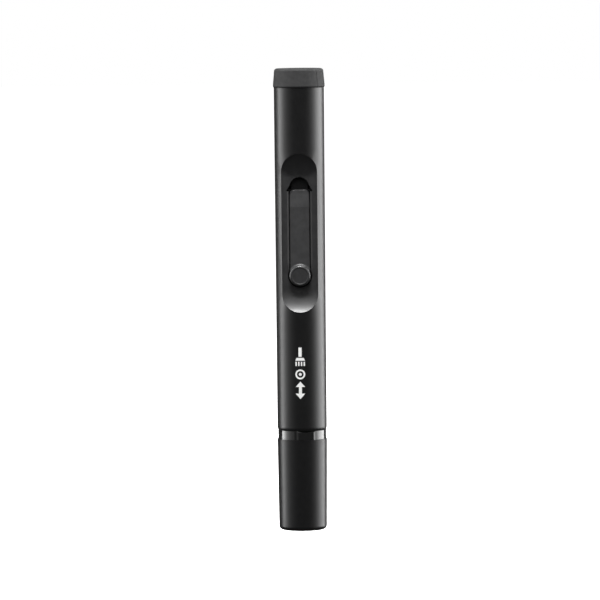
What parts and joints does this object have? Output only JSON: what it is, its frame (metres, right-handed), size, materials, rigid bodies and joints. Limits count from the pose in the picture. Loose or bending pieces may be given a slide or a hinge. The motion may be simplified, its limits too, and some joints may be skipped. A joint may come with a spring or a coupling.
{
  "type": "lens cleaning pen",
  "caption": "Slim cylindrical lens cleaning pen with a retractable hair brush driven by a thumb slide in an oval recess, and a carbon cleaning tip under a pull-off cap.",
  "frame": {"origin": "centre of the cap's flat foot, the pen's lowest face", "axes": "+Z along the pen's axis from the cap to the brush end; -Y is the side with the thumb slide; +X is to the right when the slide is seen with the brush end up"},
  "size_m": [0.0146, 0.0146, 0.13],
  "materials": {
    "barrel_black": "black anodised, satin",
    "track_black": "fine moulded texture",
    "carriage_black": "matte",
    "button_black": "satin",
    "tongue_black": "satin",
    "collar_rubber": "satin",
    "gloss_black": "polished",
    "cap_black": "satin",
    "inner_plastic": "matte",
    "grip_rubber": "matte",
    "spring_steel": "bright",
    "ferrule_metal": "satin",
    "goat_hair": "soft hair",
    "cushion_rubber": "matte",
    "carbon_pad": "chamois with carbon powder",
    "print_white": "matt pad print",
    "felt_black": "felt"
  },
  "bodies": {
    "barrel": {"barrel_tube": "barrel_black", "slider_track": "track_black", "brush_collar": "collar_rubber", "brush_guide": "inner_plastic", "neck_ring": "gloss_black", "neck_grip_ring": "grip_rubber", "tip_socket": "inner_plastic", "tip_stem": "inner_plastic"},
    "brush_slider": {"slide_carriage": "carriage_black", "detent_spring": "spring_steel", "brush_rod": "inner_plastic", "brush_base": "inner_plastic", "brush_ferrule": "ferrule_metal", "brush_hair": "goat_hair"},
    "tongue": {"slider_tongue": "tongue_black", "thumb_button": "button_black"},
    "tip": {"tip_head": "inner_plastic", "tip_cushion": "cushion_rubber", "tip_pad": "carbon_pad"},
    "cap": {"cap_shell": "cap_black", "cap_liner": "inner_plastic", "cap_pad": "felt_black"}
  },
  "joints": [
    {"name": "brush_slide", "type": "slide", "parent": "barrel", "child": "brush_slider", "axis": [0, 0, 1], "range_m": [0, 0.0235]},
    {"name": "button_press", "type": "hinge", "parent": "brush_slider", "child": "tongue", "pos_m": [0, -0.0034, 0.0944], "axis": [1, 0, 0], "range_deg": [0, 1.2], "stiffness_Nm_per_rad": 1.6},
    {"name": "cap_pull", "type": "slide", "parent": "barrel", "child": "cap", "axis": [0, 0, -1], "range_m": [0, 0.03]},
    {"name": "tip_tilt", "type": "hinge", "parent": "barrel", "child": "tip", "pos_m": [0, 0, 0.0075], "axis": [1, 0, 0], "range_deg": [-6, 6], "stiffness_Nm_per_rad": 0.02}
  ]
}
